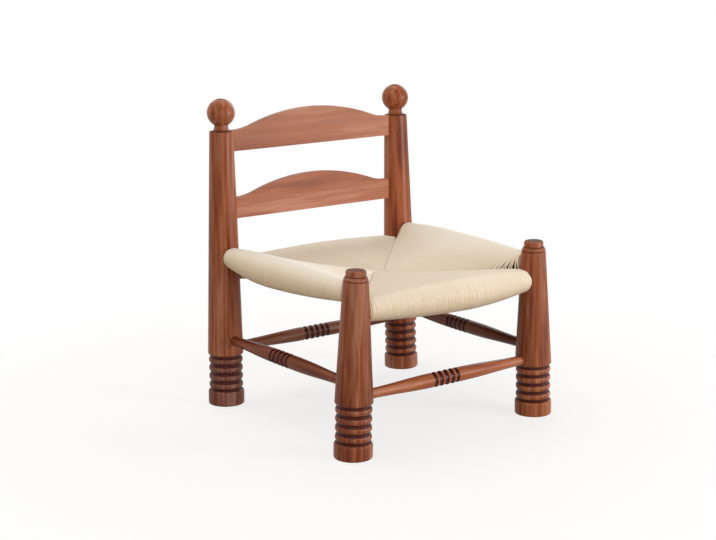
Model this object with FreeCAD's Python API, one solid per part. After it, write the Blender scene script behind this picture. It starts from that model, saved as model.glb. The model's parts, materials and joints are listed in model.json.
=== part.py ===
import FreeCAD, Part
import math
import os

# Low side chair: turned posts and stretchers, two back slats and a seat wound in cord.
# Millimetres. +Z is up, the front is -Y, and left is -X as seen by someone who faces the chair.
# The origin is on the floor, at the middle of the overall box.

# Where the posts stand on the floor, and how they lean
front_post_spacing = 522.0
rear_post_widening = 7.0
post_depth_spacing = 497.6
front_lean_degrees = 1.28
rear_lean_degrees = 0.86
rear_rake_degrees = 1.35

# Ringed foot, alike on every post
foot_radius = 42.3
foot_edge_radius = 5.0
foot_trim_margin = 0.4
drum_height = 33.8
drum_edge_radius = 5.0
ring_count = 4
ring_pitch = 20.0
ring_radius = 40.0
ring_roundness = 3.4
ring_groove_width = 4.6
ring_groove_radius = 36.4
groove_wall_run = 1.2

# Tapering shafts
shaft_base_radius = 41.8
shaft_edge_radius = 5.0
rear_shaft_height = 645.0
rear_shaft_top_radius = 28.0
front_shaft_height = 384.0
front_shaft_top_radius = 27.6

# Neck and ball on top of a rear post
neck_base_radius = 20.0
neck_base_height = 2.0
neck_top_radius = 17.0
neck_length = 14.8
neck_hollow = 2.0
ball_radius = 32.5
shoulder_edge_radius = 1.5

# Collar and cap on top of a front post
collar_groove_depth = 1.8
collar_groove_width = 2.6
collar_radius = 27.0
collar_top_radius = 23.4
collar_height = 7.2
collar_swell = 0.9
cap_groove_radius = 21.0
cap_groove_width = 1.6
cap_radius = 22.0
cap_height = 12.4
cap_edge_radius = 3.6

# Stretchers
stretcher_above_rings = 13.2
side_stretcher_rise = 26.5
stretcher_radius = 16.3
stretcher_tenon_radius = 11.2
stretcher_tenon_stop = 14.0
stretcher_ring_count = 4
stretcher_ring_pitch = 16.0
stretcher_ring_radius = 16.9
stretcher_ring_roundness = 1.6
stretcher_groove_width = 7.6
stretcher_groove_radius = 14.0
stretcher_taper_start = 44.0
stretcher_taper_steps = 6
front_ring_offset = -12.0
rear_ring_offset = -7.0
side_ring_offset = 11.5

# Back slats
slat_thickness = 16.0
slat_end_height = 48.8
slat_rise = 39.2
slat_hollow_radius = 150.0
slat_flat_length = 3.5
slat_shoulder = 8.0
slat_cheek = 2.0
slat_tenon_stop = 5.0
upper_slat_drop = 0.0
lower_slat_share = 0.4338

# Seat rails, which the cord is wound over
cord_thickness = 4.0
cross_rail_height = 318.2
side_rail_rear_rise = 35.6
side_rail_front_rise = 37.3
cross_roll_end_radius = 25.4
cross_roll_belly_radius = 37.1
cross_roll_sag = 3.9
front_belly_offset = 50.0
rear_belly_offset = 15.0
side_roll_front_radius = 22.5
side_roll_belly_radius = 36.2
side_roll_rear_radius = 24.0
side_roll_sag = 5.1
side_belly_offset = 66.0
roll_taper_power = 1.75
roll_gap = 0.8
rail_tenon_radius = 11.0
rail_tenon_stop = 4.0

# Woven seat: the seams run along the diagonals, measured from the height of the cross rails
seam_center_rise = 8.8
seam_corner_rise = 25.8
seam_curve_power = 1.5
seam_shift_right = 8.0
seam_shift_front = 6.0
seam_thickness = 20.0
weave_fractions = (-1.0, -0.9, -0.75, -0.5, -0.25, 0.0, 0.25, 0.5, 0.75, 0.9, 1.0)

# Card packing between the two layers of cord
packing_reach = 0.75
packing_rail_gap = 7.0
packing_seam_gap = 10.0
packing_clearance = 0.3

# Tacks that hold the two ends of the cord
tack_head_radius = 4.0
tack_head_height = 1.2
tack_shank_radius = 0.9
tack_shank_length = 12.0
tack_point_length = 3.0
tack_fraction = 0.4

# Fits
joint_clearance = 0.1
mortise_end_gap = 0.6
mortise_overrun = 20.0
cord_clearance = 0.15
tack_clearance = 0.05
tack_head_gap = 0.3

# Where the joint line of a turned surface lies, clear of every hole
seam_turn_degrees = 135.0

Vec = FreeCAD.Vector
quarter_sag = 1.0 - math.sqrt(0.5)
rear_post_spacing = front_post_spacing + rear_post_widening
half_depth = post_depth_spacing / 2
front_lean = math.tan(math.radians(front_lean_degrees))
rear_lean = math.tan(math.radians(rear_lean_degrees))
rear_rake = math.tan(math.radians(rear_rake_degrees))
foot_trim = foot_radius * math.hypot(max(front_lean, rear_lean), rear_rake) + foot_trim_margin
ring_edge_radius = ring_radius - ring_roundness
rings_top = drum_height + ring_count * ring_pitch + ring_groove_width
shaft_base_height = rings_top + shaft_edge_radius
ball_height = rear_shaft_height + neck_length + math.sqrt(ball_radius ** 2 - neck_top_radius ** 2)
collar_base_height = front_shaft_height + collar_groove_width
cap_base_height = collar_base_height + collar_height + cap_groove_width
cross_stretcher_height = rings_top + stretcher_above_rings
side_stretcher_height = cross_stretcher_height + side_stretcher_rise
upper_slat_height = rear_shaft_height - upper_slat_drop - slat_end_height
lower_slat_height = cross_rail_height + lower_slat_share * (upper_slat_height - cross_rail_height)
seam_center_height = cross_rail_height + seam_center_rise
seam_corner_height = cross_rail_height + seam_corner_rise

# The overall box runs from the front feet to the balls, and its middle is Y = 0
rear_reach = half_depth + max(foot_radius, ball_height * rear_rake + ball_radius)
front_reach = half_depth + foot_radius
middle_shift = (rear_reach - front_reach) / 2


class Profile:
    """Outline of a turned piece, radius against height, that starts and ends on its axis."""

    def __init__(self, height):
        self.start = Vec(0, 0, height)
        self.here = self.start
        self.edges = []

    def line(self, radius, height):
        there = Vec(radius, 0, height)
        self.edges.append(Part.LineSegment(self.here, there).toShape())
        self.here = there

    def arc(self, middle_radius, middle_height, radius, height):
        middle = Vec(middle_radius, 0, middle_height)
        there = Vec(radius, 0, height)
        self.edges.append(Part.Arc(self.here, middle, there).toShape())
        self.here = there

    def curve(self, radius, height, swell):
        """Arc that stands swell off its chord, outward on the way up."""
        there = Vec(radius, 0, height)
        chord = there - self.here
        outward = Vec(chord.z, 0, -chord.x).normalize()
        middle = (self.here + there) * 0.5 + outward * swell
        self.arc(middle.x, middle.z, radius, height)

    def spline(self, points):
        places = [self.here] + [Vec(radius, 0, height) for radius, height in points]
        smooth = Part.BSplineCurve()
        smooth.interpolate(places)
        self.edges.append(smooth.toShape())
        self.here = places[-1]

    def solid(self):
        axis_line = Part.LineSegment(self.here, self.start).toShape()
        face = Part.Face(Part.Wire(self.edges + [axis_line]))
        face.rotate(Vec(0, 0, 0), Vec(0, 0, 1), seam_turn_degrees)
        return face.revolve(Vec(0, 0, 0), Vec(0, 0, 1), 360)


class Post:
    """One corner post: side is -1 left or 1 right, end is -1 front or 1 rear."""

    def __init__(self, side, end):
        self.side = side
        self.end = end
        rear = end > 0
        spacing = rear_post_spacing if rear else front_post_spacing
        lean = rear_lean if rear else front_lean
        rake = rear_rake if rear else 0.0
        self.foot = Vec(side * spacing / 2, end * half_depth - middle_shift, 0)
        self.slope = Vec(-side * lean, rake, 1)
        self.top_height = rear_shaft_height if rear else front_shaft_height
        self.top_radius = rear_shaft_top_radius if rear else front_shaft_top_radius
        self.side_rail_rise = side_rail_rear_rise if rear else side_rail_front_rise
        self.side_roll_radius = side_roll_rear_radius if rear else side_roll_front_radius
        self.blank = None
        self.solid = None

    def axis_at(self, height):
        return self.foot + self.slope * height

    def radius_at(self, height):
        share = (height - shaft_base_height) / (self.top_height - shaft_base_height)
        return shaft_base_radius + share * (self.top_radius - shaft_base_radius)

    def make(self):
        profile = Profile(-foot_trim)
        add_foot(profile)
        if self.end > 0:
            add_neck_and_ball(profile)
        else:
            add_collar_and_cap(profile)
        whole = profile.solid()
        whole.Placement = FreeCAD.Placement(self.foot, FreeCAD.Rotation(Vec(0, 0, 1), self.slope))
        block_side = 4 * foot_radius
        below_floor = Part.makeBox(block_side, block_side, block_side)
        below_floor.translate(self.foot - Vec(block_side / 2, block_side / 2, block_side))
        self.blank = whole.cut(below_floor)
        self.solid = self.blank

    def corner(self):
        """Plan point beside the post where two rolls of cord stop and a seam begins."""
        cross_low = cross_rail_height - cross_roll_end_radius
        side_low = cross_rail_height + self.side_rail_rise - self.side_roll_radius
        reach_x = max(self.radius_at(cross_low), self.side_roll_radius) + roll_gap
        reach_y = max(self.radius_at(side_low), cross_roll_end_radius) + roll_gap
        x = self.axis_at(cross_low).x - self.side * reach_x
        y = self.axis_at(side_low).y - self.end * reach_y
        return Vec(x, y, 0)


def add_foot(profile):
    """Drum, rings and grooves, up to the lower edge of the shaft."""
    profile.line(foot_radius - foot_edge_radius, -foot_trim)
    profile.curve(foot_radius, foot_edge_radius - foot_trim, foot_edge_radius * quarter_sag)
    profile.line(foot_radius, drum_height - drum_edge_radius)
    profile.curve(foot_radius - drum_edge_radius, drum_height, drum_edge_radius * quarter_sag)
    for ring in range(ring_count + 1):
        groove = drum_height + ring * ring_pitch
        groove_end = groove + ring_groove_width
        profile.line(ring_groove_radius, groove + groove_wall_run)
        profile.line(ring_groove_radius, groove_end - groove_wall_run)
        if ring < ring_count:
            profile.line(ring_edge_radius, groove_end)
            profile.curve(ring_edge_radius, groove + ring_pitch, ring_roundness)
    profile.line(shaft_base_radius - shaft_edge_radius, rings_top)
    profile.curve(shaft_base_radius, shaft_base_height, shaft_edge_radius * quarter_sag)


def add_neck_and_ball(profile):
    """Rear shaft, its hollow neck and the ball."""
    edge = shoulder_edge_radius
    profile.line(rear_shaft_top_radius, rear_shaft_height - edge)
    profile.curve(rear_shaft_top_radius - edge, rear_shaft_height, edge * quarter_sag)
    profile.line(neck_base_radius, rear_shaft_height + neck_base_height)
    profile.curve(neck_top_radius, rear_shaft_height + neck_length, -neck_hollow)
    profile.arc(ball_radius, ball_height, 0, ball_height + ball_radius)


def add_collar_and_cap(profile):
    """Front shaft, its incised line, the collar and the cap."""
    groove_radius = front_shaft_top_radius - collar_groove_depth
    profile.line(front_shaft_top_radius, front_shaft_height)
    profile.line(groove_radius, front_shaft_height + collar_groove_width / 2)
    profile.line(collar_radius, collar_base_height)
    profile.curve(collar_top_radius, collar_base_height + collar_height, collar_swell)
    profile.line(cap_groove_radius, collar_base_height + collar_height + cap_groove_width / 2)
    profile.line(cap_radius, cap_base_height)
    cap_top = cap_base_height + cap_height
    profile.line(cap_radius, cap_top - cap_edge_radius)
    profile.curve(cap_radius - cap_edge_radius, cap_top, cap_edge_radius * quarter_sag)
    profile.line(0, cap_top)


class Bar:
    """A bar between two posts; distances along it count from the first post's axis."""

    def __init__(self, first, last, first_height, last_height, tenon_radius, tenon_stop):
        self.posts = (first, last)
        self.start = first.axis_at(first_height)
        self.stop = last.axis_at(last_height)
        self.length = (self.stop - self.start).Length
        self.direction = (self.stop - self.start).normalize()
        self.tenon_radius = tenon_radius
        self.tenon_stop = tenon_stop

    def placed(self, solid):
        solid.Placement = FreeCAD.Placement(self.start, FreeCAD.Rotation(Vec(0, 0, 1), self.direction))
        return solid

    def cut_mortises(self):
        """Cut a round blind hole for this bar's tenon into each of its posts."""
        radius = self.tenon_radius + joint_clearance
        inset = self.tenon_stop - mortise_end_gap
        depth = shaft_base_radius + mortise_overrun - inset
        for post, origin, way in zip(self.posts, (self.start, self.stop), (1, -1)):
            inward = self.direction * way
            hole = Part.makeCylinder(radius, depth, origin + inward * inset, inward)
            post.solid = post.solid.cut(hole)


class Stretcher(Bar):
    """Turned bar that swells towards a group of rings and thins towards its tenons."""

    def __init__(self, first, last, height, ring_offset):
        super().__init__(first, last, height, height, stretcher_tenon_radius, stretcher_tenon_stop)
        self.face_radius = first.radius_at(height)
        self.ring_center = self.length / 2 + ring_offset

    def radius_at(self, along):
        """Constant near the middle, then a half wave down to the tenon where the bar meets a post."""
        middle = self.length / 2
        run = middle - self.face_radius - stretcher_taper_start
        share = (abs(along - middle) - stretcher_taper_start) / run
        share = min(max(share, 0.0), 1.0)
        wave = (1 + math.cos(math.pi * share)) / 2
        return self.tenon_radius + (stretcher_radius - self.tenon_radius) * wave

    def taper(self, begin, end):
        """Radius and place at even steps from begin to end, without begin itself."""
        steps = range(1, stretcher_taper_steps + 1)
        places = [begin + (end - begin) * step / stretcher_taper_steps for step in steps]
        return [(self.radius_at(place), place) for place in places]

    def make(self):
        group_half = (stretcher_ring_count * stretcher_ring_pitch + stretcher_groove_width) / 2
        first_face = self.face_radius
        last_face = self.length - self.face_radius
        group_start = self.ring_center - group_half
        group_end = self.ring_center + group_half
        ring_edge = stretcher_ring_radius - stretcher_ring_roundness
        profile = Profile(self.tenon_stop)
        profile.line(self.tenon_radius, self.tenon_stop)
        profile.line(self.tenon_radius, first_face)
        profile.spline(self.taper(first_face, group_start))
        for ring in range(stretcher_ring_count + 1):
            groove = group_start + ring * stretcher_ring_pitch
            groove_end = groove + stretcher_groove_width
            profile.line(stretcher_groove_radius, groove + groove_wall_run)
            profile.line(stretcher_groove_radius, groove_end - groove_wall_run)
            if ring < stretcher_ring_count:
                profile.line(ring_edge, groove_end)
                profile.curve(ring_edge, groove + stretcher_ring_pitch, stretcher_ring_roundness)
        profile.line(self.radius_at(group_end), group_end)
        profile.spline(self.taper(group_end, last_face))
        profile.line(self.tenon_radius, self.length - self.tenon_stop)
        profile.line(0, self.length - self.tenon_stop)
        return self.placed(profile.solid())


class SeatRail(Bar):
    """Round rail under the cord; inward points from the rail to the middle of the seat."""

    def __init__(self, first, last, heights, roll_radii, belly_sag, belly_offset, inward):
        super().__init__(first, last, heights[0], heights[1], rail_tenon_radius, rail_tenon_stop)
        self.inward = inward
        self.corners = (first.corner(), last.corner())
        self.first_radius = roll_radii[0]
        self.belly_radius = roll_radii[1]
        self.last_radius = roll_radii[2]
        self.belly_sag = belly_sag
        self.roll_ends = [self.along(corner) for corner in self.corners]
        self.belly = sum(self.roll_ends) / 2 + belly_offset

    def runs_across(self):
        return self.inward.x == 0

    def along(self, point):
        """Distance along the rail at which it passes a plan point."""
        if self.runs_across():
            return (point.x - self.start.x) / self.direction.x
        return (point.y - self.start.y) / self.direction.y

    def end_share(self, along):
        """How much of the roll's change between the belly (0) and an end (1) is made here."""
        roll_end = self.roll_ends[0] if along < self.belly else self.roll_ends[1]
        return ((along - self.belly) / (roll_end - self.belly)) ** roll_taper_power

    def roll_radius(self, along):
        """Outside of the wound cord, fullest at the belly."""
        end_radius = self.first_radius if along < self.belly else self.last_radius
        return self.belly_radius - (self.belly_radius - end_radius) * self.end_share(along)

    def roll_sag(self, along):
        """How far the middle of the wound cord hangs below the rail's axis."""
        return self.belly_sag * (1 - self.end_share(along))

    def core_radius(self, along):
        """The rail itself, one cord below the top of the roll."""
        return self.roll_radius(along) - self.roll_sag(along) - cord_thickness

    def seam_point(self, fraction):
        """Plan point on a seam, at a fraction of the way to the first corner (below 0) or the last."""
        corner = self.corners[0] if fraction < 0 else self.corners[1]
        return seat_center + (corner - seat_center) * abs(fraction)

    def shape(self, tip, extra):
        """Tenons and the barrel between them, from tip to tip, grown by extra all round."""
        first_shoulder = self.roll_ends[0] + cord_thickness - extra
        last_shoulder = self.roll_ends[1] - cord_thickness + extra
        slices = [self.along(self.seam_point(fraction)) for fraction in weave_fractions[1:-1]]
        profile = Profile(tip)
        profile.line(self.tenon_radius + extra, tip)
        profile.line(self.tenon_radius + extra, first_shoulder)
        for along in [first_shoulder] + slices + [last_shoulder]:
            profile.line(self.core_radius(along) + extra, along)
        profile.line(self.tenon_radius + extra, last_shoulder)
        profile.line(self.tenon_radius + extra, self.length - tip)
        profile.line(0, self.length - tip)
        return self.placed(profile.solid())

    def make(self):
        return self.shape(self.tenon_stop, 0.0)

    def bore(self):
        """Space that the rail takes inside the wound cord, which closes over its shoulders."""
        return self.shape(0.0, cord_clearance)


class Station:
    """Upright slice through one woven section, at a fraction of the way to a corner."""

    def __init__(self, rail, fraction):
        share = abs(fraction)
        seam = rail.seam_point(fraction)
        along = rail.along(seam)
        self.rail = rail
        self.rail_axis = rail.start + rail.direction * along
        self.center = self.rail_axis - Vec(0, 0, rail.roll_sag(along))
        self.core_radius = rail.core_radius(along)
        self.radius = rail.roll_radius(along)
        self.seam_out = (seam - self.center).dot(rail.inward)
        seam_rise = (seam_corner_height - seam_center_height) * share ** seam_curve_power
        self.seam_top = seam_center_height + seam_rise
        self.seam_bottom = self.seam_top - seam_thickness

    def point(self, out, height):
        """Point of the slice, out from the rail's axis towards the middle of the seat."""
        place = self.center + self.rail.inward * out
        return Vec(place.x, place.y, height)

    def tangent_angle(self, seam_height, way):
        """Angle on the roll at which a cord that is pulled straight to the seam leaves it."""
        rise = seam_height - self.center.z
        distance = math.hypot(self.seam_out, rise)
        return math.atan2(rise, self.seam_out) + way * math.acos(self.radius / distance)

    def on_roll(self, angle):
        return self.point(self.radius * math.cos(angle), self.center.z + self.radius * math.sin(angle))

    def outline(self):
        """Closed outline round the roll and along both layers of cord to the seam."""
        top_angle = self.tangent_angle(self.seam_top, 1)
        bottom_angle = self.tangent_angle(self.seam_bottom, -1) + 2 * math.pi
        step = (bottom_angle - top_angle) / 4
        roll = [self.on_roll(top_angle + step * count) for count in range(5)]
        top = self.point(self.seam_out, self.seam_top)
        bottom = self.point(self.seam_out, self.seam_bottom)
        edges = [
            Part.LineSegment(top, roll[0]),
            Part.Arc(roll[0], roll[1], roll[2]),
            Part.Arc(roll[2], roll[3], roll[4]),
            Part.LineSegment(roll[4], bottom),
            Part.LineSegment(bottom, top),
        ]
        return Part.Wire([edge.toShape() for edge in edges])

    def layer_height(self, out, angle, seam_height):
        """Height of the outside of a layer of cord, out from the rail's axis."""
        leave_out = self.radius * math.cos(angle)
        leave_height = self.center.z + self.radius * math.sin(angle)
        share = (out - leave_out) / (self.seam_out - leave_out)
        return leave_height + (seam_height - leave_height) * share

    def pocket(self, rail_gap, clearance):
        """Outline of the space between the layers, from rail_gap outside the rail to near the seam."""
        near = self.core_radius + rail_gap
        far = self.seam_out - packing_seam_gap - clearance
        top_angle = self.tangent_angle(self.seam_top, 1)
        bottom_angle = self.tangent_angle(self.seam_bottom, -1)
        inset = cord_thickness + clearance
        corners = [
            self.point(near, self.layer_height(near, top_angle, self.seam_top) - inset),
            self.point(far, self.layer_height(far, top_angle, self.seam_top) - inset),
            self.point(far, self.layer_height(far, bottom_angle, self.seam_bottom) + inset),
            self.point(near, self.layer_height(near, bottom_angle, self.seam_bottom) + inset),
        ]
        return Part.makePolygon(corners + corners[:1])


def packing_stations(rail):
    return [Station(rail, fraction) for fraction in weave_fractions if abs(fraction) <= packing_reach]


def make_packing(rail):
    """Card wedge that fills the pocket of one woven section."""
    slices = [station.pocket(packing_rail_gap, packing_clearance) for station in packing_stations(rail)]
    return Part.makeLoft(slices, True, True)


def make_weave(rail):
    """One woven section: the cord round its rail and both layers up to the two diagonal seams."""
    outside = Part.makeLoft([Station(rail, fraction).outline() for fraction in weave_fractions], True, True)
    pocket = Part.makeLoft([station.pocket(0.0, 0.0) for station in packing_stations(rail)], True, True)
    return outside.cut(rail.bore()).cut(pocket)


class Tack:
    """Tack driven into the inner side of a rail, where the cord begins or ends."""

    def __init__(self, rail, fraction):
        station = Station(rail, fraction)
        self.rail = rail
        self.seat = station.point(station.core_radius + tack_head_gap, station.rail_axis.z)

    def make(self):
        profile = Profile(-tack_shank_length)
        profile.line(tack_shank_radius, tack_point_length - tack_shank_length)
        profile.line(tack_shank_radius, 0)
        profile.line(tack_head_radius, 0)
        profile.line(tack_head_radius, tack_head_height / 2)
        profile.line(0, tack_head_height)
        tack = profile.solid()
        tack.Placement = FreeCAD.Placement(self.seat, FreeCAD.Rotation(Vec(0, 0, 1), self.rail.inward))
        return tack

    def hole(self):
        depth = tack_shank_length + mortise_end_gap
        bottom = self.seat - self.rail.inward * depth
        return Part.makeCylinder(tack_shank_radius + tack_clearance, depth, bottom, self.rail.inward)


class Slat:
    """Flat board between the rear posts, with a straight lower edge and an arched upper edge."""

    def __init__(self, height):
        end_axis = rear_right.axis_at(height + slat_end_height)
        low_axis = rear_right.axis_at(height)
        self.middle = Vec(0, low_axis.y, height)
        self.face = low_axis.x - rear_right.radius_at(height)
        self.board_half = end_axis.x
        self.tenon_half = end_axis.x - slat_tenon_stop

    def placed(self, solid):
        solid.rotate(Vec(0, 0, 0), Vec(1, 0, 0), -rear_rake_degrees)
        solid.translate(self.middle)
        return solid

    def board(self):
        """The board with its full height, from one post's axis to the other's."""
        flat = self.face - slat_flat_length
        radii_sum = (flat ** 2 + slat_rise ** 2) / (2 * slat_rise)
        crown_radius = radii_sum - slat_hollow_radius
        turn = math.asin(flat / radii_sum)
        peak = slat_end_height + slat_rise
        crown_height = peak - crown_radius
        hollow_height = slat_end_height + slat_hollow_radius

        def crown(angle):
            return Vec(crown_radius * math.sin(angle), 0, crown_height + crown_radius * math.cos(angle))

        def hollow(side, angle):
            x = flat - slat_hollow_radius * math.sin(angle)
            return Vec(side * x, 0, hollow_height - slat_hollow_radius * math.cos(angle))

        low_left = Vec(-self.board_half, 0, 0)
        low_right = Vec(self.board_half, 0, 0)
        end_left = Vec(-self.board_half, 0, slat_end_height)
        end_right = Vec(self.board_half, 0, slat_end_height)
        edges = [
            Part.LineSegment(low_left, low_right),
            Part.LineSegment(low_right, end_right),
            Part.LineSegment(end_right, hollow(1, 0)),
            Part.Arc(hollow(1, 0), hollow(1, turn / 2), crown(turn)),
            Part.Arc(crown(turn), crown(0), crown(-turn)),
            Part.Arc(crown(-turn), hollow(-1, turn / 2), hollow(-1, 0)),
            Part.LineSegment(hollow(-1, 0), end_left),
            Part.LineSegment(end_left, low_left),
        ]
        face = Part.Face(Part.Wire([edge.toShape() for edge in edges]))
        face.translate(Vec(0, -slat_thickness / 2, 0))
        return self.placed(face.extrude(Vec(0, slat_thickness, 0)))

    def tenon(self, clearance, end_gap):
        """Block that runs through the board and into both posts."""
        length = 2 * (self.tenon_half + end_gap)
        thickness = slat_thickness - 2 * slat_cheek + 2 * clearance
        height = slat_end_height - 2 * slat_shoulder + 2 * clearance
        corner = Vec(-length / 2, -thickness / 2, slat_shoulder - clearance)
        return self.placed(Part.makeBox(length, thickness, height, corner))

    def make(self):
        """The board, its ends shaped to the round posts, and its tenons."""
        board = self.board()
        for post in (rear_left, rear_right):
            board = board.cut(post.blank)
        return board.fuse(self.tenon(0.0, 0.0)).removeSplitter()

    def cut_mortises(self):
        for post in (rear_left, rear_right):
            post.solid = post.solid.cut(self.tenon(joint_clearance, mortise_end_gap))


# Posts
posts = {
    "front_left_post": Post(-1, -1),
    "front_right_post": Post(1, -1),
    "rear_left_post": Post(-1, 1),
    "rear_right_post": Post(1, 1),
}
for post in posts.values():
    post.make()
front_left = posts["front_left_post"]
front_right = posts["front_right_post"]
rear_left = posts["rear_left_post"]
rear_right = posts["rear_right_post"]
corner_middle = (front_left.corner().y + rear_left.corner().y) / 2
seat_center = Vec(seam_shift_right, corner_middle - seam_shift_front, 0)
nodes = {}

# Stretchers
stretchers = {
    "front_stretcher": Stretcher(front_left, front_right, cross_stretcher_height, front_ring_offset),
    "rear_stretcher": Stretcher(rear_left, rear_right, cross_stretcher_height, rear_ring_offset),
    "left_stretcher": Stretcher(front_left, rear_left, side_stretcher_height, side_ring_offset),
    "right_stretcher": Stretcher(front_right, rear_right, side_stretcher_height, side_ring_offset),
}
for name, stretcher in stretchers.items():
    nodes[name] = stretcher.make()
    stretcher.cut_mortises()

# Seat rails
cross_heights = (cross_rail_height, cross_rail_height)
cross_radii = (cross_roll_end_radius, cross_roll_belly_radius, cross_roll_end_radius)
side_heights = (cross_rail_height + side_rail_front_rise, cross_rail_height + side_rail_rear_rise)
side_radii = (side_roll_front_radius, side_roll_belly_radius, side_roll_rear_radius)
rails = {
    "front": SeatRail(
        front_left, front_right, cross_heights, cross_radii, cross_roll_sag, front_belly_offset, Vec(0, 1, 0)
    ),
    "rear": SeatRail(
        rear_left, rear_right, cross_heights, cross_radii, cross_roll_sag, rear_belly_offset, Vec(0, -1, 0)
    ),
    "left": SeatRail(
        front_left, rear_left, side_heights, side_radii, side_roll_sag, side_belly_offset, Vec(1, 0, 0)
    ),
    "right": SeatRail(
        front_right, rear_right, side_heights, side_radii, side_roll_sag, side_belly_offset, Vec(-1, 0, 0)
    ),
}
for place, rail in rails.items():
    nodes[place + "_seat_rail"] = rail.make()
    nodes[place + "_seat_weave"] = make_weave(rail)
    nodes[place + "_seat_packing"] = make_packing(rail)
    rail.cut_mortises()

# Tacks at the two ends of the cord
tacks = {"left": Tack(rails["left"], -tack_fraction), "rear": Tack(rails["rear"], tack_fraction)}
for place, tack in tacks.items():
    rail_node = place + "_seat_rail"
    nodes[rail_node] = nodes[rail_node].cut(tack.hole())
nodes["cord_tacks"] = Part.makeCompound([tack.make() for tack in tacks.values()])

# Back slats
slats = {"lower_back_slat": Slat(lower_slat_height), "upper_back_slat": Slat(upper_slat_height)}
for name, slat in slats.items():
    nodes[name] = slat.make()
    slat.cut_mortises()

# One file for each piece
for name, post in posts.items():
    nodes[name] = post.solid
os.makedirs("parts", exist_ok=True)
for name, shape in nodes.items():
    shape.exportStep("parts/" + name + ".step")
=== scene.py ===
import json
import math
import random

import bpy
from mathutils import Matrix, Vector


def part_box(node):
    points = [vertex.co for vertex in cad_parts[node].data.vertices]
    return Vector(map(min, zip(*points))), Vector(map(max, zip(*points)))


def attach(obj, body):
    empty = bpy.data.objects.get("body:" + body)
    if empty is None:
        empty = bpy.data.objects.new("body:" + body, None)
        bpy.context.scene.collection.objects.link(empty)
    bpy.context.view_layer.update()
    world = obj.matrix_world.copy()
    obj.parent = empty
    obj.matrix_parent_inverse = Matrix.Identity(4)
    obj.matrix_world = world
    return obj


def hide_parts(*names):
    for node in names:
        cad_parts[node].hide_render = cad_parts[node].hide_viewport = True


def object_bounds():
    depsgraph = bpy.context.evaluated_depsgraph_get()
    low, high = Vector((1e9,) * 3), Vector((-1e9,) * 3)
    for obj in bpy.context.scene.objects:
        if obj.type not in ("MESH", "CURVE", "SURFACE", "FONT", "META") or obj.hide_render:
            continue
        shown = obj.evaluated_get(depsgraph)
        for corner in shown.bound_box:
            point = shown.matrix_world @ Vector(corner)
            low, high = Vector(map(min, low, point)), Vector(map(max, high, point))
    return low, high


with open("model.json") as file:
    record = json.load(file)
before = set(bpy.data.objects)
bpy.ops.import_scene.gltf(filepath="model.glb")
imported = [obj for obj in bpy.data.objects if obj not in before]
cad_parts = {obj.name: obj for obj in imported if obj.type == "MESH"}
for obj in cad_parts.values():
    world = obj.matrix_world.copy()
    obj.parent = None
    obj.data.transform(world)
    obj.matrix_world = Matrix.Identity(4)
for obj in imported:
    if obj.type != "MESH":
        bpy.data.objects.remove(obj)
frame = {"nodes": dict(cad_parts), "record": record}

# Low side chair with turned posts and a seat wound in paper cord.
# Metres, in the frame of the solids: +Z is up, the front is -Y, and left is -X.

cad_low, cad_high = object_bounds()
record = frame["record"]
nodes = frame["nodes"]
UP = Vector((0, 0, 1))
ALONG_X = Vector((1, 0, 0))
ALONG_Y = Vector((0, 1, 0))
PLACES = ("front", "rear", "left", "right")
FEET = {mount["name"]: Vector(mount["pos_m"]) for mount in record["mounts"]}

# How deep the end of a bar's mesh is read to find its middle
END_DEPTH = 0.001

# Wound cord: its size, how it bends and tucks in at a seam, and its faults from turn to turn
CORD_RADIUS = 0.00212
CROSS_CORDS = 112
SIDE_CORDS = 111
CORD_BEND = 0.0022
CORD_TUCK = 0.004
CORD_PLACE_JITTER = 0.00018
CORD_HEIGHT_JITTER = 0.00016
CORD_RADIUS_JITTER = 0.03
CORD_SWAY = 0.0004
CORD_SWAY_TURN = 3
WEAVE_SEED = 41

# Sides of a cord's mesh, and the steps of its bends, its straight runs and its rolls
CORD_SIDES = 10
BEND_STEPS = 4
RUN_STEPS = 5
ROLL_STEPS = 14
END_TURN_STEPS = 40

# At the seams a small gap opens towards the corners
SEAM_GAP = 0.0003
SEAM_GAP_JITTER = 0.0004

# One seam bows towards the rear left. The bow is greatest at the peak, a share of the way from the
# middle of the seat to the corner. The cord's ends rise with the bow, by the slope. Some rounds of
# a fixed-point search find where a cord meets the bowed seam.
BOWED_SEAM = ("front", "left")
SEAM_BOW = 0.013
SEAM_BOW_PEAK = 0.15
SEAM_BOW_SLOPE = 0.42
SEAM_BOW_ROUNDS = 30

# Towards a corner the seam ends of the cords spread up to the post. The start and the reach are
# shares of the way to the corner. The spread fades out along a cord over its run, or this length.
FAN_START = 0.86
FAN_REACH = 0.052
FAN_LENGTH = 0.032
FAN_POWER = 1.5

# By the front posts the side cords lie in pairs, with a slit between two pairs
PAIRED_CORDS = 36
PAIR_SHIFT = 0.0013
PAIR_POWER = 1.5
PAIR_THINNING = 0.84

# Flat turns that close a roll's end start this many cord radii below its surface
END_TURN_DEPTH = 3

# Part turns beyond each end of a roll, on its outer side, that fill the corner by the round post
END_ARCS = 2
END_ARC_PITCH = 0.0039
END_ARC_DROP = 0.0008
END_ARC_SPREAD = math.radians(100)

# Rolls round the rails, as in the solids: outside radius at the ends and at the fullest place,
# sag of the roll's middle below the rail there, and how far that place lies off the middle
CROSS_ROLL = {"first": 0.0254, "belly": 0.0371, "last": 0.0254, "sag": 0.0039}
SIDE_ROLL = {"first": 0.0225, "belly": 0.0362, "last": 0.0240, "sag": 0.0051}
BELLY_OFFSETS = {"front": 0.050, "rear": 0.015, "left": 0.066, "right": 0.066}
ROLL_TAPER_POWER = 1.75
RAIL_TENON_RADIUS = 0.011

# Diagonal seams, above the axis of the front and rear rails
SEAM_CENTER_RISE = 0.0088
SEAM_CORNER_RISE = 0.0258
SEAM_CURVE_POWER = 1.5
SEAM_THICKNESS = 0.02

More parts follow.
